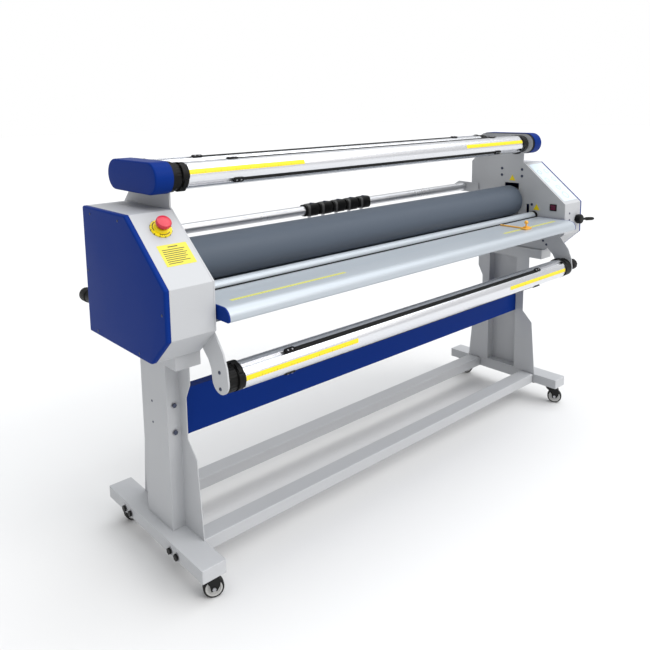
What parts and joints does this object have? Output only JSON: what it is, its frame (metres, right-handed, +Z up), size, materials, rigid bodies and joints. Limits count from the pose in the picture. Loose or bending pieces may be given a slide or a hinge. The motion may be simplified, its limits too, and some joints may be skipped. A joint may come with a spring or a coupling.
{
  "type": "cold roll laminator",
  "caption": "Wide-format cold roll laminator on a wheeled stand, with a rubber nip, film shafts, a feed table, end casings and a lift lever.",
  "frame": {"origin": "on the floor, midway between the two sides and between the ends of the foot bars", "axes": "+X along the rollers to the machine's right, seen from the front; +Y towards the rear; +Z up"},
  "size_m": [2.0678, 0.6025, 1.169],
  "materials": {
    "frame_paint": "light warm grey powder coat",
    "cover_paint": "deep blue powder coat",
    "black_steel": "black coated steel",
    "black_plastic": "black moulded plastic",
    "motor_paint": "dark grey paint",
    "chain_steel": "oiled steel",
    "table_aluminium": "pale grey satin coat",
    "roller_steel": "ground steel",
    "roller_rubber": "grey-blue ground rubber",
    "overlay_blue": "satin polyester overlay",
    "signal_yellow": "yellow plastic",
    "signal_red": "red plastic",
    "guide_orange": "orange plastic",
    "shaft_aluminium": "bright extruded aluminium",
    "strip_rubber": "black gripping strip",
    "caster_rubber": "black caster wheel"
  },
  "bodies": {
    "frame": {"foot_bars": "frame_paint", "cross_beams": "frame_paint", "post_left": "frame_paint", "post_right": "frame_paint", "top_bars": "frame_paint", "tie_panel": "cover_paint", "frame_bolts": "black_steel", "levelling_feet": "black_plastic", "casing_left": "frame_paint", "casing_right": "frame_paint", "side_covers": "cover_paint", "side_plate_left": "frame_paint", "side_plate_right": "frame_paint", "top_covers": "cover_paint", "panel_screws": "black_steel", "lower_arms": "frame_paint", "fixed_bearings": "black_plastic", "drive_motor": "motor_paint", "drive_chain": "chain_steel", "feed_table": "table_aluminium", "table_end_caps": "cover_paint", "slitter_bar": "roller_steel", "slitter_bar_brackets": "frame_paint", "control_panel": "overlay_blue", "estop_base": "signal_yellow", "power_inlet": "black_plastic"},
    "roller_carriage": {"bearing_blocks": "chain_steel"},
    "top_roller": {"top_roller_core": "roller_steel", "top_roller_sleeve": "roller_rubber"},
    "bottom_roller": {"bottom_roller_core": "roller_steel", "bottom_roller_sleeve": "roller_rubber", "roller_sprocket": "chain_steel"},
    "motor_shaft": {"motor_sprocket": "chain_steel"},
    "idler": {"idler_roller": "shaft_aluminium"},
    "supply": {"supply_shaft": "shaft_aluminium", "supply_shaft_strips": "strip_rubber", "supply_shaft_hubs": "black_plastic"},
    "takeup": {"takeup_shaft": "shaft_aluminium", "takeup_shaft_fittings": "black_plastic"},
    "lower_reel": {"lower_shaft": "shaft_aluminium", "lower_shaft_strips": "strip_rubber", "lower_shaft_hubs": "black_plastic"},
    "tension_control": {"tension_knob": "black_plastic"},
    "lift_handle": {"lift_lever": "black_plastic"},
    "emergency_stop": {"estop_button": "signal_red"},
    "power_switch": {"power_rocker": "signal_red"},
    "guide": {"edge_guide": "guide_orange"},
    "slitter_1_body": {"slitter_1": "black_plastic"},
    "slitter_2_body": {"slitter_2": "black_plastic"},
    "slitter_3_body": {"slitter_3": "black_plastic"},
    "slitter_4_body": {"slitter_4": "black_plastic"},
    "slitter_5_body": {"slitter_5": "black_plastic"},
    "front_left_caster_swivel_body": {"front_left_caster_fork": "black_steel"},
    "front_left_caster_wheel_body": {"front_left_caster_wheel": "caster_rubber"},
    "front_right_caster_swivel_body": {"front_right_caster_fork": "black_steel"},
    "front_right_caster_wheel_body": {"front_right_caster_wheel": "caster_rubber"},
    "rear_left_caster_swivel_body": {"rear_left_caster_fork": "black_steel"},
    "rear_left_caster_wheel_body": {"rear_left_caster_wheel": "caster_rubber"},
    "rear_right_caster_swivel_body": {"rear_right_caster_fork": "black_steel"},
    "rear_right_caster_wheel_body": {"rear_right_caster_wheel": "caster_rubber"}
  },
  "joints": [
    {"name": "roller_lift", "type": "slide", "parent": "frame", "child": "roller_carriage", "axis": [0, 0, 1], "range_m": [0, 0.02]},
    {"name": "lift_lever_turn", "type": "hinge", "parent": "frame", "child": "lift_handle", "pos_m": [0.96, -0.29, 0.811], "axis": [0, -1, 0], "range_deg": [0, 90]},
    {"name": "bottom_roller_spin", "type": "hinge", "parent": "frame", "child": "bottom_roller", "pos_m": [0, -0.028, 0.7475], "axis": [1, 0, 0], "continuous": true},
    {"name": "top_roller_spin", "type": "hinge", "parent": "roller_carriage", "child": "top_roller", "pos_m": [0, -0.028, 0.878], "axis": [1, 0, 0], "continuous": true},
    {"name": "motor_spin", "type": "hinge", "parent": "frame", "child": "motor_shaft", "pos_m": [-0.947, 0.095, 0.9], "axis": [1, 0, 0], "continuous": true},
    {"name": "idler_spin", "type": "hinge", "parent": "frame", "child": "idler", "pos_m": [0, -0.138, 0.821], "axis": [1, 0, 0], "continuous": true},
    {"name": "supply_spin", "type": "hinge", "parent": "frame", "child": "supply", "pos_m": [0, -0.083, 1.126], "axis": [1, 0, 0], "continuous": true},
    {"name": "takeup_spin", "type": "hinge", "parent": "frame", "child": "takeup", "pos_m": [0, 0.107, 1.126], "axis": [1, 0, 0], "continuous": true},
    {"name": "lower_spin", "type": "hinge", "parent": "frame", "child": "lower_reel", "pos_m": [0, -0.285, 0.622], "axis": [1, 0, 0], "continuous": true},
    {"name": "tension_knob_turn", "type": "hinge", "parent": "frame", "child": "tension_control", "pos_m": [0.88, -0.285, 0.622], "axis": [1, 0, 0], "range_deg": [0, 300]},
    {"name": "estop_press", "type": "slide", "parent": "frame", "child": "emergency_stop", "axis": [0, -0.6458, 0.7635], "range_m": [-0.006, 0], "stiffness_N_per_m": 1000, "springref_m": 0.002},
    {"name": "power_rocker_tilt", "type": "hinge", "parent": "frame", "child": "power_switch", "pos_m": [0.864, -0.226, 0.863], "axis": [0, 1, 0], "range_deg": [-8, 8]},
    {"name": "edge_guide_slide", "type": "slide", "parent": "frame", "child": "guide", "axis": [1, 0, 0], "range_m": [-1.3, 0.24]},
    {"name": "slitter_1_slide", "type": "slide", "parent": "frame", "child": "slitter_1_body", "axis": [1, 0, 0], "range_m": [-0.65, 0.0035]},
    {"name": "slitter_2_slide", "type": "slide", "parent": "frame", "child": "slitter_2_body", "axis": [1, 0, 0], "range_m": [-0.0035, 0.0035]},
    {"name": "slitter_3_slide", "type": "slide", "parent": "frame", "child": "slitter_3_body", "axis": [1, 0, 0], "range_m": [-0.0035, 0.0035]},
    {"name": "slitter_4_slide", "type": "slide", "parent": "frame", "child": "slitter_4_body", "axis": [1, 0, 0], "range_m": [-0.0035, 0.0035]},
    {"name": "slitter_5_slide", "type": "slide", "parent": "frame", "child": "slitter_5_body", "axis": [1, 0, 0], "range_m": [-0.0035, 0.55]},
    {"name": "front_left_caster_swivel", "type": "hinge", "parent": "frame", "child": "front_left_caster_swivel_body", "pos_m": [-0.891, -0.229, 0.07], "axis": [0, 0, 1], "continuous": true},
    {"name": "front_left_caster_roll", "type": "hinge", "parent": "front_left_caster_swivel_body", "child": "front_left_caster_wheel_body", "pos_m": [-0.87456, -0.23632, 0.029], "axis": [0.4067, 0.9135, 0], "continuous": true},
    {"name": "front_right_caster_swivel", "type": "hinge", "parent": "frame", "child": "front_right_caster_swivel_body", "pos_m": [0.891, -0.229, 0.07], "axis": [0, 0, 1], "continuous": true},
    {"name": "front_right_caster_roll", "type": "hinge", "parent": "front_right_caster_swivel_body", "child": "front_right_caster_wheel_body", "pos_m": [0.89945, -0.24489, 0.029], "axis": [0.8829, 0.4695, 0], "continuous": true},
    {"name": "rear_left_caster_swivel", "type": "hinge", "parent": "frame", "child": "rear_left_caster_swivel_body", "pos_m": [-0.891, 0.229, 0.07], "axis": [0, 0, 1], "continuous": true},
    {"name": "rear_left_caster_roll", "type": "hinge", "parent": "rear_left_caster_swivel_body", "child": "rear_left_caster_wheel_body", "pos_m": [-0.873, 0.229, 0.029], "axis": [0, 1, 0], "continuous": true},
    {"name": "rear_right_caster_swivel", "type": "hinge", "parent": "frame", "child": "rear_right_caster_swivel_body", "pos_m": [0.891, 0.229, 0.07], "axis": [0, 0, 1], "continuous": true},
    {"name": "rear_right_caster_roll", "type": "hinge", "parent": "rear_right_caster_swivel_body", "child": "rear_right_caster_wheel_body", "pos_m": [0.89716, 0.21209, 0.029], "axis": [0.9397, 0.342, 0], "continuous": true}
  ],
  "couplings": [
    {"joint": "lift_lever_turn", "follows": "roller_lift", "rad_per_m": 78.5},
    {"joint": "top_roller_spin", "follows": "bottom_roller_spin", "ratio": -1},
    {"joint": "motor_spin", "follows": "bottom_roller_spin", "ratio": 1.6364}
  ]
}
